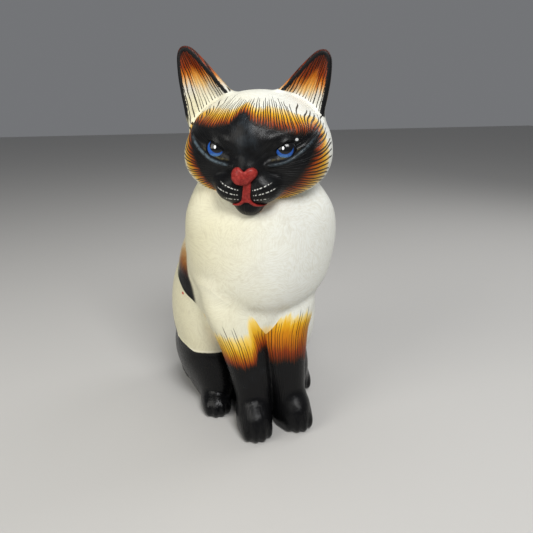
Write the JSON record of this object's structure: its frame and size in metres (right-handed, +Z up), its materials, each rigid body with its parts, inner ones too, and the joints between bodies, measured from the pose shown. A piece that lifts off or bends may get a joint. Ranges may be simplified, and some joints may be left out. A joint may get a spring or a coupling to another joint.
{
  "type": "seated cat figurine",
  "caption": "Seated cat figurine in painted ceramic: a hollow body and head with luted ears, legs, thighs, feet and tail, for display on a shelf.",
  "frame": {"origin": "on the table, under the middle of the base", "axes": "+Z up; the cat sits facing -Y, with its right side towards -X"},
  "size_m": [0.124, 0.1601, 0.2805],
  "materials": {
    "body": "hand-brushed cream paint under satin varnish",
    "base": "bare fired clay, matt",
    "head": "cream with an orange-fringed black mask, satin varnish",
    "ears": "orange-red to cream with black rims, satin varnish",
    "eyes": "bright blue and black enamel, glossy",
    "nose": "brick-red paint, satin varnish",
    "mouth": "brick-red paint, satin varnish",
    "forelegs": "cream to orange to black, satin varnish",
    "thighs": "hand-brushed cream paint under satin varnish",
    "hind_feet": "black paint, satin-gloss varnish",
    "tail": "black paint, satin-gloss varnish"
  },
  "bodies": {
    "root": {"body_shell": "body", "base_plate": "base", "head_shell": "head", "ear_left": "ears", "ear_right": "ears", "eye_left": "eyes", "eye_right": "eyes", "nose": "nose", "mouth": "mouth", "foreleg_left": "forelegs", "foreleg_right": "forelegs", "thigh_left": "thighs", "thigh_right": "thighs", "hind_foot_left": "hind_feet", "hind_foot_right": "hind_feet", "tail": "tail"}
  },
  "joints": []
}
